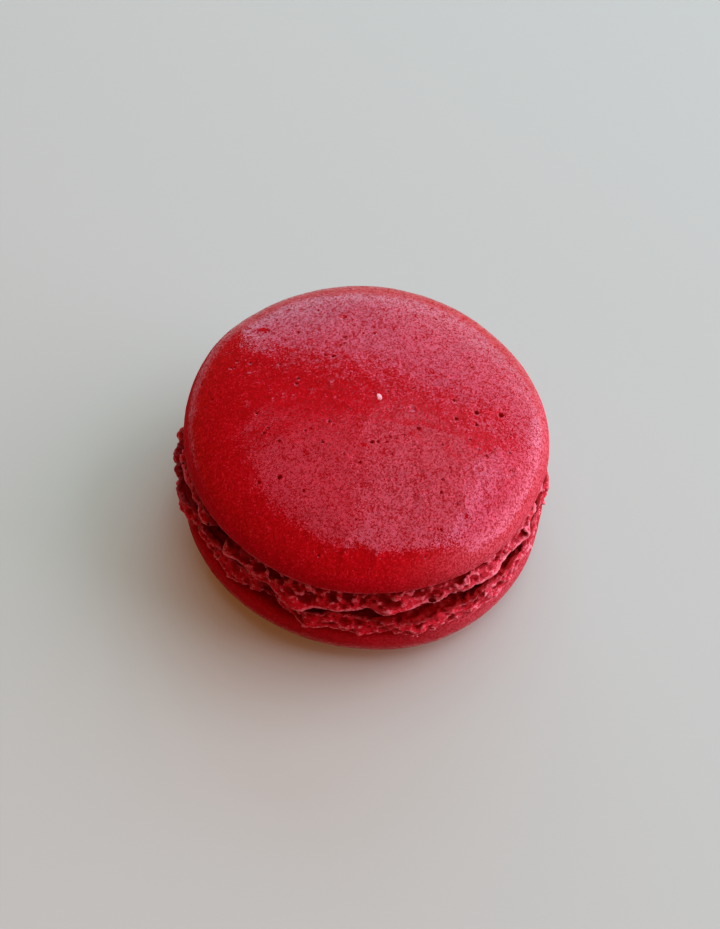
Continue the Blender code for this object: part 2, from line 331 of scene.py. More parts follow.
def crust_finish(name, deep, bright, dust, side_light_colour, edge_colour):
    """Dry meringue: deep red, with pores and a fine pale grain of sugar and almond.

    Some of its crystals shine where the skin is fairly level, and the steep skin and the holes are dull."""
    material, start, surface = new_finish(name)
    place = start.node("ShaderNodeTexCoord", {}, {}, 3)
    pit = start.node("ShaderNodeAttribute", {"attribute_name": "pit"}, {}, 2)
    matte = start.node("ShaderNodeAttribute", {"attribute_name": "matte"}, {}, 2)
    edge_line = start.node("ShaderNodeAttribute", {"attribute_name": "edge_line"}, {}, 2)
    painted_side_light = start.node("ShaderNodeAttribute", {"attribute_name": "painted_side_light"}, {}, 2)
    grain = speckle(start, place, 3.8, 1.0, 0.5)
    mottle = speckle(start, place, 0.9, 4.0, 0.6)
    patch = speckle(start, place, 0.16, 3.0, 0.5)
    pores = start.node("ShaderNodeTexVoronoi", {}, {"Vector": place, "Scale": 2.4 / MM, "Randomness": 1.0})
    pore = (1 - pores.fade(0.1, 0.3)) * mottle.fade(0.48, 0.62)
    crystals = start.node("ShaderNodeTexVoronoi", {}, {"Vector": place, "Scale": 6.0 / MM}, "Color")
    body = mixed((crystals * 0.4 + mottle * 0.35 + patch * 0.25).fade(0.35, 0.65), deep, bright)
    dusted = mixed((crystals + mottle * 0.3).fade(0.85, 1.25), body, dust)
    # Painted sheen: paler pink where the sides are marked towards the windows.
    side_lit = mixed(painted_side_light * (crystals.fade(0.25, 0.75) * 0.9 + 0.3).at_most(1.0), dusted, side_light_colour)
    edged = mixed(edge_line * mottle.fade(0.35, 0.6) * 0.6, side_lit, edge_colour)
    # Painted shade: the pits and pores are painted darker, at half the deep red.
    holes = (pit + pore * 0.7).at_most(1.0)
    colour = mixed(holes, edged, tuple(0.5 * value for value in deep[:3]) + (1.0,))
    height = grain * 0.5 + mottle * 0.2 - pore * 0.5
    bump = start.node("ShaderNodeBump", {}, {"Strength": 1.0, "Distance": 0.026 * MM, "Height": height})
    lean = crystals.vectors("SUBTRACT", (0.5, 0.5, 0.5)).vectors("MULTIPLY", (0.075, 0.075, 0.075))
    facing = bump.vectors("ADD", lean).vectors("NORMALIZE")
    tree = start.tree
    dull = tree.nodes.new("ShaderNodeBsdfPrincipled")
    dull.inputs["Roughness"].default_value = 0.8
    dull.inputs["Specular IOR Level"].default_value = 0.04
    surface.inputs["Specular IOR Level"].default_value = 0.5
    surface.inputs["Specular Tint"].default_value = (1.0, 0.65, 0.98, 1.0)
    tree.links.new((0.17 - grain * 0.08).socket, surface.inputs["Roughness"])
    for shader in (surface, dull):
        tree.links.new(colour.socket, shader.inputs["Base Color"])
        tree.links.new(facing.socket, shader.inputs["Normal"])
    blunt = (1 - crystals).fade(0.42, 0.72) * 0.75 + mottle.fade(0.5, 0.35) * 0.25
    dullness = (matte + holes + blunt).at_most(1.0)
    blend = start.node("ShaderNodeMixShader", {}, {0: dullness, 1: Wire(tree, surface.outputs[0]),
                                                   2: Wire(tree, dull.outputs[0])})
    tree.links.new(blend.socket, tree.nodes["Material Output"].inputs["Surface"])
    return material


CRUST_DEEP = (0.34, 0.0, 0.002, 1.0)
CRUST_BRIGHT = (0.48, 0.0, 0.006, 1.0)
CRUST_DUST = (0.66, 0.015, 0.035, 1.0)
# Pale pink of the painted sheen on the sides towards the windows
CRUST_SIDE_LIGHT = (0.64, 0.085, 0.12, 1.0)
CRUST_EDGE = (0.72, 0.1, 0.14, 1.0)


def scattered_pits(seed, count, reach, smallest, largest):
    """Small burst bubbles spread over a dome by a seeded draw, as (x, y, size, depth)."""
    draw = np.random.default_rng(seed)
    turn = draw.uniform(0, math.tau, count)
    out = reach * np.sqrt(draw.uniform(0, 1, count))
    size = smallest + (largest - smallest) * draw.uniform(0, 1, count) ** 3
    return list(zip(out * np.cos(turn), out * np.sin(turn), size, 0.8 * size))


def show(mesh, finish, node):
    """Puts a mesh in the scene with its finish, in place of a node of the solid model."""
    piece = bpy.data.objects.new(mesh.name, mesh)
    bpy.context.scene.collection.objects.link(piece)
    mesh.materials.append(finish)
    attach(piece, "root")
    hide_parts(node)


crust = crust_finish("baked_crust", CRUST_DEEP, CRUST_BRIGHT, CRUST_DUST, CRUST_SIDE_LIGHT, CRUST_EDGE)
LOWER_RINGS = 120
lower_pits = scattered_pits(5, 60, 20.0, 0.14, 0.34)
lower_skin = skin_mesh(lower, LOWER_RINGS, lower_pits, (), lambda across, along: 0.0)
show(lower_skin, crust, "lower_shell")

# Foot of the lower shell
# The crumb that rose and burst out under the rim while it baked: a foam of thin walls round open
# bubbles, ragged at its edges. It is one with the crust over it, and its flat face takes the filling.

FOOT_COLUMNS = 890
FOOT_STEP = 0.155        # height and depth of one cell of the field that the foam is carved in
FOOT_CORE = 20.0         # the foam is worked out from here outwards; inside it the crumb is plain
FOOT_TOP = 4.75          # the crumb reaches up into the dome to here
FOOT_OUTERMOST = 24.9    # ends of the field that the foam is carved in
FOOT_FIELD_LOW = -1.2
FOOT_FIELD_HIGH = 5.1
FOOT_SWELL = (6, 0.8, 0.35)      # lumps round the ring, lumps in a foot's height, depth
FOOT_CRAGS = (21, 2.4, 0.7)
FOOT_GRIT = (52, 6.0, 0.5)
FOOT_RAGS = (170, 7.0, 0.05)
CRUMB_SIDE_LIGHT = ((-32, 44, 1.0),)      # (azimuth, half width, share) of painted light: the crumb's side towards the window is painted paler and rosier


def ring_noise(azimuth, height, layer, seed):
    """Seamless noise round the ring at every pair of an azimuth and a height."""
    lumps_round, lumps_up, depth = layer
    scale = lumps_round / 4
    rows = []
    levels = [lumps_up * high / FOOT_HEIGHT + 10 * seed for high in height.tolist()]
    for degrees in azimuth.tolist():
        x = scale * math.cos(math.radians(degrees))
        y = scale * math.sin(math.radians(degrees))
        rows.append([noise.noise(Vector((x, y, level))) for level in levels])
    return depth * np.array(rows)


def stretched(values, count, axis, wraps):
    """Values of a coarse lattice spread smoothly over more points along one axis."""
    size = values.shape[axis]
    place = np.linspace(0, size if wraps else size - 1, count, endpoint=not wraps)
    low = np.minimum(place.astype(int), size - 1)
    high = (low + 1) % size if wraps else np.minimum(low + 1, size - 1)
    share = place - low
    share = share * share * (3 - 2 * share)
    shape = [1, 1, 1]
    shape[axis] = count
    share = share.reshape(shape)
    return np.take(values, low, axis) * (1 - share) + np.take(values, high, axis) * share


def crumbly(draw, size, outs, ups):
    """Noise in the whole field of a foot, with lumps of about the given size."""
    around = int(math.tau * SHELL_RADIUS / size)
    deep = int((outs[-1] - outs[0]) / size) + 2
    tall = int((ups[-1] - ups[0]) / size) + 2
    values = draw.standard_normal((around, deep, tall)).astype(np.float32)
    values = stretched(values, len(ups), 2, False)
    index = np.interp(outs, [outs[0], outs[-1]], [0, deep - 1])
    low = np.minimum(index.astype(int), deep - 2)
    share = (index - low)[None, :, None]
    values = values[:, low] * (1 - share) + values[:, low + 1] * share
    return stretched(values, FOOT_COLUMNS, 0, True)


def foot_side(shell, azimuth, ups):
    """Reach of the foot's side at each azimuth and height."""
    heights = [high for high, reach in shell.foot][::-1]
    reaches = [reach for high, reach in shell.foot][::-1]
    base = SHELL_RADIUS + np.interp(ups, heights, reaches)[None, :]
    moved = along_ring(shell.reaches, azimuth)[:, None]
    for layer in (FOOT_SWELL, FOOT_CRAGS, FOOT_GRIT, FOOT_RAGS):
        moved = moved + ring_noise(azimuth, ups, layer, shell.seed)
    below_rim = fade(ups, FOOT_HEIGHT, FOOT_HEIGHT - 1.0)[None, :]
    moved = moved * fade(base, FACE_EDGE, FACE_EDGE + 1.2) * below_rim
    return base + outline(shell, azimuth)[:, None] * (base / SHELL_RADIUS) ** 2 + moved


def foot_edge(shell, azimuth, outs):
    """Height of the foot's edge on the filling at each azimuth and radius, below 0 where it hangs."""
    drop = along_ring(shell.droops, azimuth)
    drop = drop + 0.5 * ring_noise(azimuth, np.zeros(1), FOOT_CRAGS, shell.seed + 1)[:, 0]
    return -drop[:, None] * fade(outs, FACE_EDGE + 2, SHELL_RADIUS)[None, :]


def open_bubbles(field, side, outs, ups, bubbles, uneven):
    """Hollows the (azimuth, depth, height, size, width) bubbles out of a foot's field, unevenly."""
    arc = math.tau * SHELL_RADIUS / FOOT_COLUMNS
    for azimuth, depth, height, size, width in bubbles:
        column = azimuth / 360 * FOOT_COLUMNS
        level = int(np.clip(np.searchsorted(ups, height), 0, len(ups) - 1))
        middle = side[int(column) % FOOT_COLUMNS, level] - depth
        reach = int(size * width / arc) + 2
        columns = np.arange(int(column) - reach, int(column) + reach + 1)
        near_out = np.flatnonzero(np.abs(outs - middle) < size + 0.3)
        near_up = np.flatnonzero(np.abs(ups - height) < size + 0.3)
        if len(near_out) == 0 or len(near_up) == 0:
            continue
        block = np.ix_(columns % FOOT_COLUMNS, near_out, near_up)
        away = np.sqrt((((columns - column) * arc / width) ** 2)[:, None, None]
                       + ((outs[near_out] - middle) ** 2)[None, :, None]
                       + ((ups[near_up] - height) ** 2)[None, None, :])
        field[block] = np.minimum(field[block], away - size * (1 + 0.28 * uneven[block]))


def foam(draw, count, sizes, lowest, highest, inwards=0.0, closed=()):
    """Bubbles crowded round a foot's side by a draw between two heights, so that their walls just meet.

    They lie up to the inwards distance behind the side, and each closed (azimuth, half width, share)
    leaves some of them out."""
    kept = np.zeros((0, 4))
    bubbles = []
    smallest, largest = sizes
    for size in np.sort(smallest + (largest - smallest) * draw.uniform(0, 1, count) ** 2)[::-1]:
        azimuth = draw.uniform(0, 360)
        depth = draw.uniform(-0.75, -0.25) * size + draw.uniform(0, inwards)
        height = draw.uniform(lowest + size, highest - 0.5 * size)
        width = draw.uniform(1.0, 1.7)
        if closed and draw.uniform() < along_ring(closed, azimuth):
            continue
        arc = degrees_between(kept[:, 0], azimuth) * math.pi / 180 * SHELL_RADIUS / 1.3
        away = np.sqrt(arc ** 2 + (kept[:, 1] - depth) ** 2 + (kept[:, 2] - height) ** 2)
        if np.all(away > 0.78 * (kept[:, 3] + size)):
            kept = np.vstack([kept, (azimuth, depth, height, size)])
            bubbles.append((azimuth, depth, height, size, width))
    return bubbles


def wrapped(field):
    """A skin of quads round the part of a field above zero. The field's first axis runs round and closes.

    Gives the skin's points as places in the field, its quads, and the cell that each point lies in."""
    closed = np.concatenate([field, field[:1]])
    inside = closed > 0
    corners = [(a, b, c) for a in (0, 1) for b in (0, 1) for c in (0, 1)]
    size = np.array(closed.shape) - 1

    def shifted(values, corner):
        a, b, c = corner
        return values[a:a + size[0], b:b + size[1], c:c + size[2]]

    count = sum(shifted(inside, corner).astype(np.int8) for corner in corners)
    active = (count > 0) & (count < 8)
    cells = np.argwhere(active)
    number = np.full(active.shape, -1)
    number[active] = np.arange(len(cells))
    values = {corner: shifted(closed, corner)[active] for corner in corners}
    total = np.zeros((len(cells), 3))
    crossings = np.zeros(len(cells))
    for first in corners:
        for axis in range(3):
            if first[axis] == 0:
                second = tuple(1 if index == axis else place for index, place in enumerate(first))
                low = values[first]
                high = values[second]
                crossed = (low > 0) != (high > 0)
                share = np.where(crossed, low / np.where(crossed, low - high, 1.0), 0.0)
                total[crossed] += np.array(first)
                total[:, axis] += share
                crossings += crossed
    points = cells + total / crossings[:, None]

    quads = []
    for axis, across, along in ((0, 1, 2), (1, 2, 0), (2, 0, 1)):
        ahead = np.roll(inside[:-1], -1, 0) if axis == 0 else np.roll(inside[:-1], -1, axis)
        here = inside[:-1]
        crossed = here != ahead
        if axis:
            last = [slice(None)] * 3
            last[axis] = slice(-1, None)
            crossed[tuple(last)] = False
        edges = np.argwhere(crossed)
        keep = np.ones(len(edges), bool)
        for other in (across, along):
            if other:
                keep &= (edges[:, other] > 0) & (edges[:, other] < size[other])
        edges = edges[keep]
        ring = []
        for back_across, back_along in ((1, 1), (0, 1), (0, 0), (1, 0)):
            cell = edges.copy()
            cell[:, across] -= back_across
            cell[:, along] -= back_along
            cell[:, 0] %= size[0]
            ring.append(number[cell[:, 0], cell[:, 1], cell[:, 2]])
        ring = np.stack(ring, -1)
        outwards = here[edges[:, 0], edges[:, 1], edges[:, 2]]
        ring[~outwards] = ring[~outwards][:, ::-1]
        quads.append(ring)
    return points, np.concatenate(quads), cells


def largest_piece(count, quads):
    """Which of the points hang together in the piece with the most points."""
    label = np.arange(count)
    edges = np.concatenate([quads[:, (0, 1)], quads[:, (1, 2)], quads[:, (2, 3)], quads[:, (3, 0)]])
    while True:
        lowest = np.minimum(label[edges[:, 0]], label[edges[:, 1]])
        before = label.copy()
        np.minimum.at(label, edges[:, 0], lowest)
        np.minimum.at(label, edges[:, 1], lowest)
        label = label[label]
        label = label[label]
        if np.array_equal(before, label):
            break
    return label == np.bincount(label).argmax()


def foot_mesh(shell, bubbles, draw):
    """The foamy foot with the crumb inside its ring, from the filling up into the dome."""
    azimuth = np.arange(FOOT_COLUMNS) * 360 / FOOT_COLUMNS
    outs = np.arange(FOOT_CORE, FOOT_OUTERMOST, FOOT_STEP)
    ups = np.arange(FOOT_FIELD_LOW, FOOT_FIELD_HIGH, FOOT_STEP)
    side = foot_side(shell, azimuth, ups)
    edge = foot_edge(shell, azimuth, outs)
    uneven = crumbly(draw, 0.6, outs, ups)
    lumpy = 0.06 * crumbly(draw, 1.1, outs, ups) + 0.1 * (np.abs(uneven) - 0.6)
    lumpy += 0.05 * crumbly(draw, 0.28, outs, ups)
    lumpy *= fade(ups, -0.2, 0.9)[None, None, :] * 0.75 + 0.25
    near_side = fade(outs, FOOT_CORE + 0.2, FOOT_CORE + 1.2)[None, :, None]
    field = side[:, None, :] - outs[None, :, None]
    hollow = along_ring(shell.undercut, azimuth)[:, None] * fade(outs, 20.7, 21.1)[None, :]
    face_level = int(np.searchsorted(ups, 0.0))
    hollow = hollow * fade(field[:, :, face_level], 0.1, 0.5)
    field = np.minimum(field, ups[None, None, :] - (edge + hollow)[:, :, None])
    open_bubbles(field, side, outs, ups, bubbles, uneven)
    field = field + lumpy * near_side
    field = np.minimum(field, FOOT_TOP - ups[None, None, :])
    slab = np.minimum(ups, FOOT_TOP - ups)[None, None, :]
    field = np.where(outs[None, :, None] < FOOT_CORE + 2 * FOOT_STEP, slab, field)

    # How much crumb lies round each point, for painting shade in the hollows and paler thin walls.
    solid = (field > 0).astype(np.float32)
    for axis in range(3):
        solid = sum(np.roll(solid, shift, axis) for shift in range(-2, 3)) / 5

    points, quads, cells = wrapped(field)
    nearest = np.minimum(np.rint(points).astype(int), np.array(field.shape) - 1)
    share = solid[nearest[:, 0] % FOOT_COLUMNS, nearest[:, 1], nearest[:, 2]]
    reach = side[nearest[:, 0] % FOOT_COLUMNS, nearest[:, 2]]
    turn = points[:, 0] * math.tau / FOOT_COLUMNS
    radius = np.interp(points[:, 1], np.arange(len(outs)), outs)
    height = np.interp(points[:, 2], np.arange(len(ups)), ups)
    kept = largest_piece(len(points), quads)
    new_number = np.cumsum(kept) - 1
    quads = new_number[quads[kept[quads[:, 0]]]]
    inner = (cells[:, 1] == 0) & kept
    faces = quads.tolist()
    for at_top in (True, False):
        rim = np.flatnonzero(inner & ((height > 2) == at_top))
        rim = new_number[rim[np.argsort(cells[rim, 0])]]
        faces.append((rim if at_top else rim[::-1]).tolist())
    if shell.up > 0:
        quad_count = len(quads)
        faces[:quad_count] = quads[:, ::-1].tolist()
    else:
        faces[len(quads):] = [face[::-1] for face in faces[len(quads):]]
    mesh = bpy.data.meshes.new(shell.name + "_foot")
    spots = placed(shell, radius * np.cos(turn), radius * np.sin(turn), height)[kept]
    mesh.from_pydata(spots.tolist(), [], faces)
    mesh.shade_smooth()
    # Painted shade and light: the crumb is kept from turning pale near the face and inwards of the edge, as
    # shade in the gap between the shells, and is paler on the side towards the window.
    lit_outside_gap = fade(height, 0.4 * shell.gap_shade_height, shell.gap_shade_height) if shell.gap_shade_height else np.ones(len(height))
    side_lit = along_ring(CRUMB_SIDE_LIGHT, np.degrees(turn))
    lit_outside_gap = lit_outside_gap * fade(radius, SHELL_RADIUS - 1.5, SHELL_RADIUS - 0.5) * (0.55 + 0.45 * side_lit)
    depth = reach - radius
    for name, values in (("solid_share", share), ("depth", depth), ("lit_outside_gap", lit_outside_gap), ("painted_side_light", side_lit)):
        attribute = mesh.attributes.new(name, "FLOAT", "POINT")
        attribute.data.foreach_set("value", values[kept].astype(np.float32))
    return mesh


def crumb_finish(name, deep, body, rosy, pale):
    """Baked crumb: deep red painted as shade in the bubbles and deeper in, paler where thin walls and edges
    stand out, partly their own colour and partly painted light.
    """
    material, start, surface = new_finish(name)
    place = start.node("ShaderNodeTexCoord", {}, {}, 3)
    share = start.node("ShaderNodeAttribute", {"attribute_name": "solid_share"}, {}, 2)
    depth = start.node("ShaderNodeAttribute", {"attribute_name": "depth"}, {}, 2)
    lit_outside_gap = start.node("ShaderNodeAttribute", {"attribute_name": "lit_outside_gap"}, {}, 2)
    painted_side_light = start.node("ShaderNodeAttribute", {"attribute_name": "painted_side_light"}, {}, 2)
    grain = speckle(start, place, 4.0, 3.0, 0.6)
    mottle = speckle(start, place, 0.8, 3.0, 0.6)
    thin = (share + grain * 0.3 - 0.1 - painted_side_light * 0.05).fade(0.46, 0.34)
    # Painted shade and light: the crumb is pale only near the foot's outer side, out of the gap and towards
    # the window, and darker deeper in.
    outer = (1 - depth.fade(0.1, 1.0)) * lit_outside_gap
    # Painted shade: darker where much crumb lies round, in the bubbles.
    hollow = share.fade(0.5, 0.8)
    paleness = thin * outer * (mottle.fade(0.3, 0.7) * 0.6 + 0.4)
    # Painted light: the walls on the side towards the window are rosier.
    walls = mixed(painted_side_light * (mottle.fade(0.35, 0.65) * 0.4 + 0.6), body, rosy)
    colour = mixed(paleness, mixed((outer * (1 - hollow) + grain - 0.5).fade(0.1, 0.9), deep, walls), pale)
    bump = start.node("ShaderNodeBump", {}, {"Strength": 1.0, "Distance": 0.05 * MM, "Height": grain})
    tree = start.tree
    tree.links.new(colour.socket, surface.inputs["Base Color"])
    tree.links.new((0.45 + grain * 0.2).socket, surface.inputs["Roughness"])
    tree.links.new(bump.socket, surface.inputs["Normal"])
    surface.inputs["Specular IOR Level"].default_value = 0.06
    return material


# The deep colour is also painted shade in the bubbles; the pale one is the thin edges' own colour with
# painted light.
CRUMB_DEEP = (0.24, 0.0, 0.001, 1.0)
CRUMB_BODY = (0.66, 0.0, 0.01, 1.0)
CRUMB_ROSY = (0.52, 0.035, 0.065, 1.0)
CRUMB_PALE = (0.88, 0.23, 0.29, 1.0)
crumb = crumb_finish("baked_crumb", CRUMB_DEEP, CRUMB_BODY, CRUMB_ROSY, CRUMB_PALE)
draw = np.random.default_rng(lower.seed)
lower_bubbles = [(-64, 0.1, 3.4, 0.7, 1.3), (-60, 0.1, 2.0, 0.6, 1.2), (-33, 0.1, 2.6, 0.7, 1.6),
                 (-118, 0.1, 1.5, 0.8, 1.3), (-96, 0.1, 1.9, 0.6, 1.2), (-152, 0.1, 2.2, 0.7, 1.2)]
lower_bubbles += foam(draw, 6000, (0.18, 0.75), 0.2, 3.0, closed=((180, 50, 0.85),))
lower_bubbles += foam(draw, 3000, (0.16, 0.5), -0.6, 0.4, 2.2)
show(foot_mesh(lower, lower_bubbles, draw), crumb, "lower_shell")

# Filling
# A thin layer of dark fruit filling, piped as a blob and pressed flat between the two faces. It
# sticks to both, stays back from the edge, and bulges out a little at the front right.

FACE_DISTANCE = 1.6
FILLING_CLEARANCE = 0.3
FILLING_RADIUS = 20.6
UPPER_TILT = 0.8
FILLING_COLUMNS = 480
FILLING_RINGS = 14


def filling_mesh():
    """A flat disc with a rounded, uneven edge whose top follows the tilt of the upper shell."""
    half = (FACE_DISTANCE - 2 * FILLING_CLEARANCE) / 2
    middle = lower.face + FACE_DISTANCE / 2
    outline_out = [0.75 * FILLING_RADIUS]
    outline_up = [half]
    for step in range(FILLING_RINGS + 1):
        turn = math.pi * step / FILLING_RINGS
        outline_out.append(FILLING_RADIUS - half * (1 - math.sin(turn)))
        outline_up.append(half * math.cos(turn))
    outline_out.append(0.75 * FILLING_RADIUS)
    outline_up.append(-half)
    turn = np.arange(FILLING_COLUMNS) * math.tau / FILLING_COLUMNS
    azimuth = np.degrees(turn)
    bulge = 0.9 * bell(degrees_between(azimuth, -54), 9)
    bulge = bulge + ring_noise(azimuth, np.zeros(1), (14, 0, 0.9), 3)[:, 0]
    points = []
    for out, up in zip(outline_out, outline_up):
        edge = fade(np.array(out), 0.75 * FILLING_RADIUS, FILLING_RADIUS)
        around = np.stack([20 * np.cos(turn), 20 * np.sin(turn), 0 * turn + 4 * up], -1)
        ripple = 0.05 * rough(around, 0.7, 2)
        radius = out + (bulge + ripple) * edge
        across = radius * np.cos(turn)
        along = radius * np.sin(turn)
        lean = math.tan(math.radians(UPPER_TILT)) * along
        share = (up + half) / (2 * half)
        points.append(np.stack([across, along, middle + up + share * lean], -1))
    faces = []
    rows = len(points)
    for row in range(rows - 1):
        for column in range(FILLING_COLUMNS):
            beside = (column + 1) % FILLING_COLUMNS
            faces.append((row * FILLING_COLUMNS + column, (row + 1) * FILLING_COLUMNS + column,
                          (row + 1) * FILLING_COLUMNS + beside, row * FILLING_COLUMNS + beside))
    faces.append(list(range(FILLING_COLUMNS)))
    faces.append([(rows - 1) * FILLING_COLUMNS + column for column in reversed(range(FILLING_COLUMNS))])
    mesh = bpy.data.meshes.new("fruit_filling")
    mesh.from_pydata((np.concatenate(points) * MM).tolist(), [], faces)
    mesh.shade_smooth()
    return mesh


FILLING_DEEP = (0.05, 0.002, 0.012, 1.0)
FILLING_BRIGHT = (0.16, 0.006, 0.045, 1.0)


def filling_finish():
    """Soft dark fruit filling with a dull gloss and specks of pulp."""
    material, start, surface = new_finish("fruit_filling")
    place = start.node("ShaderNodeTexCoord", {}, {}, 3)
    pulp = speckle(start, place, 2.2, 3.0, 0.6)
    cloud = speckle(start, place, 0.35, 2.0, 0.5)
    colour = mixed((pulp * 0.7 + cloud * 0.3).fade(0.4, 0.62), FILLING_DEEP, FILLING_BRIGHT)
    bump = start.node("ShaderNodeBump", {}, {"Strength": 1.0, "Distance": 0.08 * MM, "Height": pulp})
    tree = start.tree
    tree.links.new(colour.socket, surface.inputs["Base Color"])
    tree.links.new((0.3 + pulp * 0.25).socket, surface.inputs["Roughness"])
    tree.links.new(bump.socket, surface.inputs["Normal"])
    return material


show(filling_mesh(), filling_finish(), "filling")

# Crust of the upper shell
# The upper shell's skin, the side that is seen: evenly domed, with burst pinholes, a dimple or
# two, faint wrinkles at the right and soft runs at the front where the batter sank as it dried.

upper = Shell(
    name="upper",
    face=lower.face + FACE_DISTANCE,
    up=1,
    rise=7.2,
    plateau=0.0,
    fullness=2.1,
    oval=0.0133,
    oval_turn=10.0,
    offset=(-0.27, -0.17),
    tilt=UPPER_TILT,
    matte=(0.3, 0.5),
    painted_side_light=((-3, 32, 0.85), (-44, 19, 0.7)),
    painted_rim_light=((40, 30, 0.6), (100, 40, 0.35)),
    edges=((-101, 14, 0.3), (-22, 16, -0.35), (150, 16, 0.25), (45, 18, -0.2)),
    lumps=((99, 17.5, 4.0, 0.3), (-90, 17.5, 3.5, 0.15), (-35, 13.0, 6.0, 0.12),
           (160, 11.0, 5.0, -0.12), (0, 16.0, 3.0, -0.12)),
    foot=((3.8, -1.15), (3.1, -1.35), (2.2, -0.95), (1.3, -0.5), (0.6, -0.2), (0.1, -0.05)),
    reaches=((-140, 3.5, -2.6), (-150, 6, -0.5), (-128, 5, -0.3), (-106, 7, 0.4), (-86, 4, -0.35),
             (-77, 4, 0.4), (-68, 4, -0.3), (-52, 6, 0.3), (-38, 6, -0.3), (-26, 4, 0.3), (-8, 5, -0.4),
             (14, 8, 0.4), (48, 6, -0.7), (84, 9, 0.5), (123, 6, -0.7), (158, 8, 0.3), (-170, 6, 0.4)),
    droops=((-106, 14, 0.25), (-77, 5, 0.4), (-33, 8, 0.1), (30, 12, 0.3), (105, 10, 0.35), (165, 9, 0.3)),
    undercut=((-100, 90, 0.1),),
    gap_shade_height=0.0,
    seed=4,
)
UPPER_RINGS = 178

# Pinholes and dimples that the photo shows, as (x, y, size, depth)
SEEN_PITS = ((-4.38, 13.1, 0.45, 0.16), (-14.3, 10.2, 1.3, 0.1), (-9.5, 14.4, 0.5, 0.08),
             (5.0, -0.8, 0.5, 0.14), (12.7, 0.4, 0.36, 0.35), (15.7, 1.1, 0.38, 0.35),
             (12.8, -1.4, 0.28, 0.28), (10.3, -1.2, 0.26, 0.22), (9.9, 1.5, 0.24, 0.18),
             (0.66, -6.28, 0.26, 0.3), (1.34, -6.14, 0.21, 0.22), (5.95, -3.58, 0.24, 0.25),
             (2.4, -6.06, 0.17, 0.14), (2.74, -5.24, 0.17, 0.14), (3.4, -5.36, 0.17, 0.14),
             (4.36, -4.77, 0.17, 0.14), (14.28, -5.43, 0.21, 0.2), (13.27, -4.92, 0.17, 0.14),
             (12.09, -3.79, 0.19, 0.16), (8.93, -5.33, 0.17, 0.14), (5.92, -8.7, 0.17, 0.14),
             (9.26, -9.94, 0.19, 0.18), (9.27, -11.58, 0.2, 0.18), (3.11, -7.6, 0.17, 0.14),
             (9.69, -15.9, 0.19, 0.16), (17.03, -3.95, 0.18, 0.16), (14.83, 3.56, 0.17, 0.14),
             (-0.49, -9.19, 0.22, 0.2), (-3.93, 9.51, 0.24, 0.24), (-5.09, 6.13, 0.23, 0.26),
             (-8.94, 2.32, 0.22, 0.2), (-9.01, 1.52, 0.22, 0.2), (-5.16, -6.87, 0.22, 0.22),
             (-10.2, -6.94, 0.21, 0.2), (-12.08, -5.79, 0.2, 0.18), (-7.29, -5.41, 0.17, 0.14),
             (-4.63, -3.91, 0.2, 0.18), (-13.28, -2.97, 0.2, 0.18), (-9.64, -11.71, 0.3, 0.34),
             (-11.91, -12.27, 0.22, 0.2), (-6.64, -13.3, 0.2, 0.18), (17.3, -6.6, 0.9, 0.12),
             (6.4, -9.5, 0.8, 0.08), (6.0, -12.9, 0.8, 0.08))
# Small bumps beside them, as (x, y, half width, height)
SEEN_BUMPS = ((-0.2, -7.2, 0.5, 0.1), (6.94, -12.24, 0.5, 0.14), (8.2, -11.7, 0.3, 0.08),
              (7.4, -9.1, 0.5, 0.1), (15.4, -4.5, 0.5, 0.09), (17.9, -6.0, 0.5, 0.12),
              (3.1, -10.3, 0.25, 0.06), (12.1, -12.2, 0.4, 0.08), (18.1, -11.1, 0.3, 0.08),
              (-14.7, -1.5, 0.4, 0.08), (-14.9, 3.1, 0.25, 0.07), (-7.1, 0.4, 0.3, 0.07),
              (-10.4, -0.4, 0.22, 0.06), (-9.3, -0.5, 0.22, 0.06), (-11.6, -1.0, 0.22, 0.06),
              (-5.0, 1.7, 0.3, 0.06))
# Runs of batter down the front, as (x, half width, height)
RUNS = ((-1.0, 0.5, 0.15), (0.9, 0.8, -0.05), (2.7, 0.5, 0.16), (5.4, 0.5, 0.05))


def upper_creases(across, along):
    """Soft runs down the front of the dome and faint wrinkles at its right."""
    runs = sum(high * bell(across - x - 0.12 * (along + 19), wide) for x, wide, high in RUNS)
    runs = runs * bell(along + 20.3, 1.1)
    points = np.stack([across * 0.8 + along * 0.35, along, 0 * along], -1)
    folds = 0.5 - np.abs(rough(points, 1.9, 12))
    wrinkles = 0.12 * folds * bell(across - 9.5, 6.0) * bell(along + 6.5, 4.2)
    return runs + wrinkles


upper_pits = list(SEEN_PITS) + scattered_pits(8, 70, 21.0, 0.13, 0.19)
upper_skin = skin_mesh(upper, UPPER_RINGS, upper_pits, SEEN_BUMPS, upper_creases)
show(upper_skin, crust, "upper_shell")

# Foot of the upper shell
# The same foam as below, but the right way up: it flares to a thin ragged lip over the filling,
# with a deep recess under the rim, larger burst bubbles at the front and a break at the front left.

draw = np.random.default_rng(upper.seed)
upper_bubbles = [(-44, 0.0, 2.6, 0.95, 1.5), (-34, 0.1, 2.5, 0.6, 1.2), (-57, 0.0, 3.0, 0.8, 1.4),
                 (-66, 0.0, 3.1, 0.75, 1.5), (-79, 0.1, 1.7, 0.6, 1.1), (-91, 0.1, 1.7, 0.65, 1.3),
                 (-114, 0.1, 1.9, 0.85, 1.4), (-136, 0.1, 2.0, 0.6, 1.2)]
upper_bubbles += foam(draw, 6000, (0.18, 0.9), 0.15, 4.0)
show(foot_mesh(upper, upper_bubbles, draw), crumb, "upper_shell")

# Flake and crumbs
# A pale flake of almond that fell on the crown, and crumbs of the feet lying on the ledge of the
# lower dome at the front. They lie loose, held by nothing but their weight.

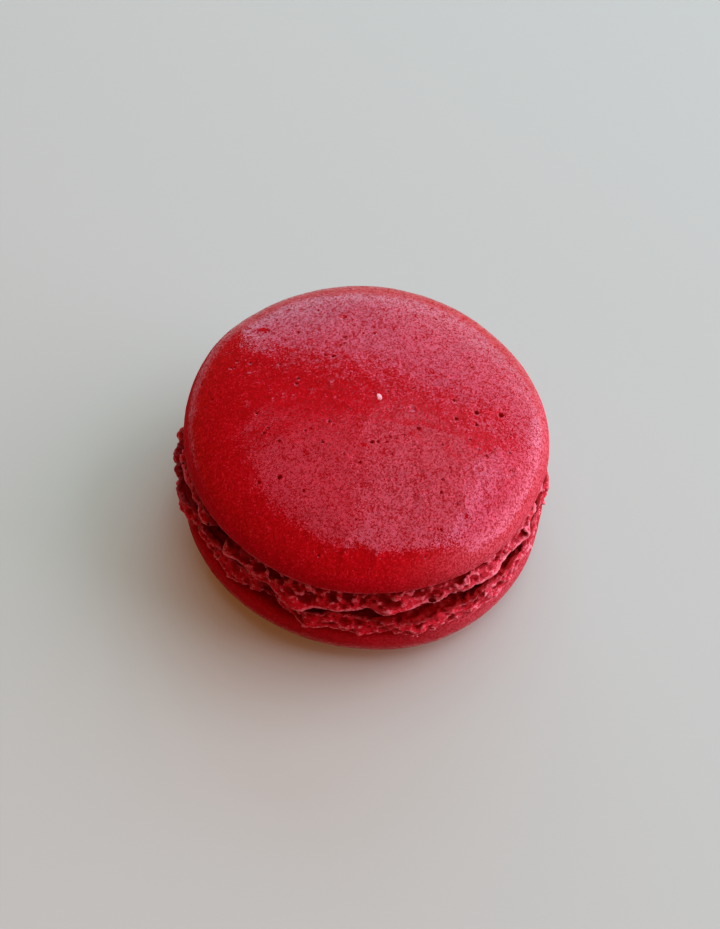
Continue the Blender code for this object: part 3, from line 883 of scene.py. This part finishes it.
FLAKE = (0.7, -0.04, 0.27, 0.5, 0.12, 0.45)      # x, y, half sizes, turn
LOOSE_CRUMBS = ((-5.0, -21.2, 0.2, 0.15, 0.13, 1.0), (-5.7, -21.5, 0.15, 0.11, 0.1, 2.3),
                (-11.4, -19.0, 0.16, 0.12, 0.1, 0.4))
CRUMB_LEVEL = 6.4        # height of the lower dome's ledge where the crumbs lie
FLAKE_PALE = (0.92, 0.44, 0.5, 1.0)
FLAKE_STAIN = (0.85, 0.24, 0.3, 1.0)


def morsel(shape, place, size, turn):
    """Adds one small uneven crumb to a mesh that is being made."""
    made = bmesh.ops.create_icosphere(shape, subdivisions=4, radius=1.0)
    for vert in made["verts"]:
        bulge = 1 + 0.4 * noise.noise(vert.co * 1.3 + Vector((9 * turn, 0, 0)))
        bulge += 0.15 * noise.noise(vert.co * 4)
        uneven = Vector([part * half * bulge for part, half in zip(vert.co, size)])
        vert.co = (Matrix.Rotation(turn, 3, "Z") @ uneven + Vector(place)) * MM


def morsels(name, spots):
    """A mesh of crumbs, each (x, y, z, half sizes, turn)."""
    shape = bmesh.new()
    for x, y, z, wide, long, thick, turn in spots:
        morsel(shape, (x, y, z), (wide, long, thick), turn)
    mesh = bpy.data.meshes.new(name)
    shape.to_mesh(mesh)
    shape.free()
    mesh.shade_smooth()
    return mesh


def flake_finish():
    """Pale almond with a faint pink stain."""
    material, start, surface = new_finish("almond_flake")
    place = start.node("ShaderNodeTexCoord", {}, {}, 3)
    stain = speckle(start, place, 3.0, 2.0, 0.5)
    colour = mixed(stain.fade(0.35, 0.65), FLAKE_PALE, FLAKE_STAIN)
    bump = start.node("ShaderNodeBump", {}, {"Strength": 1.0, "Distance": 0.03 * MM, "Height": stain})
    start.tree.links.new(colour.socket, surface.inputs["Base Color"])
    start.tree.links.new(bump.socket, surface.inputs["Normal"])
    surface.inputs["Roughness"].default_value = 0.5
    surface.inputs["Specular IOR Level"].default_value = 0.25
    return material


crown = max(vert.co.z for vert in upper_skin.vertices) / MM
flake_x, flake_y, *flake_size = FLAKE
flake = bpy.data.objects.new("flake", morsels("flake", [(flake_x, flake_y, crown + 0.02, *flake_size)]))
crumb_spots = [(x, y, CRUMB_LEVEL, *size) for x, y, *size in LOOSE_CRUMBS]
crumbs = bpy.data.objects.new("crumbs", morsels("crumbs", crumb_spots))
flake.data.materials.append(flake_finish())
crumbs.data.materials.append(crumb)
for piece in (flake, crumbs):
    bpy.context.scene.collection.objects.link(piece)
    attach(piece, "root")

# Floor, light and camera
# A plain pale floor in a warm room, with a painted warm glow of its own that lifts its shadow. A window at
# the right throws the shadow to the left, and one behind hazes the back of the dome. Skylights at the right
# and a soft light overhead, whose edge fades, haze its front; the dark band across the crown lies between
# the two hazes.

FLOOR_HALF = 1.5
FLOOR_COLOUR = (0.4, 0.424, 0.412, 1.0)
FLOOR_PAINTED_GLOW = (0.09, 0.042, 0.017, 1.0)      # painted light: the floor glows warm by itself, into its shadow too
ROOM_COLOUR = (0.27, 0.07, 0.0, 1.0)
TARGET = Vector((0, 0, 0.0115))
ELEVATION = math.radians(52.45)
ROLL = math.radians(5.8)
DISTANCE_IN_RADII = 12
RADIUS_IN_IMAGE = 182.75     # pixels of a width of 720 and a height of 929
IMAGE_SIZE = (720, 929)
TARGET_IN_IMAGE = (366.7, 459.45)

floor_mesh = bpy.data.meshes.new("floor")
corners = [(x * FLOOR_HALF, y * FLOOR_HALF, 0.0) for x, y in ((-1, -1), (1, -1), (1, 1), (-1, 1))]
floor_mesh.from_pydata(corners, [], [(0, 1, 2, 3)])
floor = bpy.data.objects.new("floor", floor_mesh)
floor_material, start, surface = new_finish("pale_floor")
surface.inputs["Base Color"].default_value = FLOOR_COLOUR
# Painted light: the floor glows by itself.
surface.inputs["Emission Color"].default_value = FLOOR_PAINTED_GLOW
surface.inputs["Emission Strength"].default_value = 1.0
surface.inputs["Roughness"].default_value = 0.7
floor_mesh.materials.append(floor_material)
bpy.context.scene.collection.objects.link(floor)

world = bpy.data.worlds.new("room")
world.use_nodes = True
world.node_tree.nodes["Background"].inputs["Color"].default_value = ROOM_COLOUR
world.node_tree.nodes["Background"].inputs["Strength"].default_value = 1.0
bpy.context.scene.world = world


def softbox(name, middle, facing, shape, size, radiance, turn=0.0):
    """A flat light that faces one way and may be turned in its plane, with the radiance of each colour."""
    light = bpy.data.lights.new(name, "AREA")
    light.shape = shape
    light.size, light.size_y = size
    area = size[0] * size[1] * (math.pi / 4 if shape == "ELLIPSE" else 1)
    light.energy = math.pi * area
    light.color = radiance
    lamp = bpy.data.objects.new(name, light)
    faced = Vector(facing).to_track_quat("-Z", "Y").to_matrix().to_4x4()
    turned = Matrix.Rotation(math.radians(turn), 4, "Z")
    lamp.matrix_world = Matrix.Translation(middle) @ faced @ turned
    bpy.context.scene.collection.objects.link(lamp)


softbox("side_window", (1.0, 0.2, 0.8), (-1, 0, 0), "RECTANGLE", (1.3, 1.6), (3.0, 2.6, 3.2))
softbox("back_window", (0.42, 1.0, 0.32), (0, -1, 0), "ELLIPSE", (1.95, 1.52), (1.0, 2.4, 2.9))
softbox("skylight", (0.43, 0.19, 1.0), (0, 0, -1), "RECTANGLE", (0.84, 1.1), (1.55, 2.35, 2.4))
softbox("skylight_side", (0.77, 0.42, 1.0), (0, 0, -1), "RECTANGLE", (0.56, 0.66), (0.8, 1.15, 1.25))
softbox("overhead", (-0.08, 0.14, 1.0), (0, 0, -1), "ELLIPSE", (0.58, 0.98), (0.95, 1.08, 1.13), 37)
softbox("overhead_edge", (-0.08, 0.14, 1.0), (0, 0, -1), "ELLIPSE", (0.86, 1.26), (0.7, 0.79, 0.85), 37)

back = Vector((0, math.cos(ELEVATION), -math.sin(ELEVATION)))
above = Vector((0, math.sin(ELEVATION), math.cos(ELEVATION)))
eye = TARGET - back * DISTANCE_IN_RADII * SHELL_RADIUS * MM
off_x = IMAGE_SIZE[0] / 2 - TARGET_IN_IMAGE[0]
off_y = IMAGE_SIZE[1] / 2 - TARGET_IN_IMAGE[1]
pixel = SHELL_RADIUS * MM / RADIUS_IN_IMAGE
aim_right = (math.cos(ROLL) * off_x + math.sin(ROLL) * off_y) * pixel
aim_down = (-math.sin(ROLL) * off_x + math.cos(ROLL) * off_y) * pixel
aim = TARGET + Vector((aim_right, 0, 0)) - above * aim_down
look = (aim - eye).normalized()
side = look.cross(Vector((0, 0, 1))).normalized()
upwards = side.cross(look)
camera_x = math.cos(ROLL) * side + math.sin(ROLL) * upwards
camera_y = -math.sin(ROLL) * side + math.cos(ROLL) * upwards
lens = bpy.data.cameras.new("camera")
lens.sensor_width = 36
lens.lens = RADIUS_IN_IMAGE * DISTANCE_IN_RADII / IMAGE_SIZE[1] * lens.sensor_width
lens.clip_start = 0.01
camera = bpy.data.objects.new("camera", lens)
camera.matrix_world = Matrix.Translation(eye) @ Matrix((camera_x, camera_y, -look)).transposed().to_4x4()
bpy.context.scene.collection.objects.link(camera)
bpy.context.scene.camera = camera
bpy.context.scene.view_settings.view_transform = "Standard"
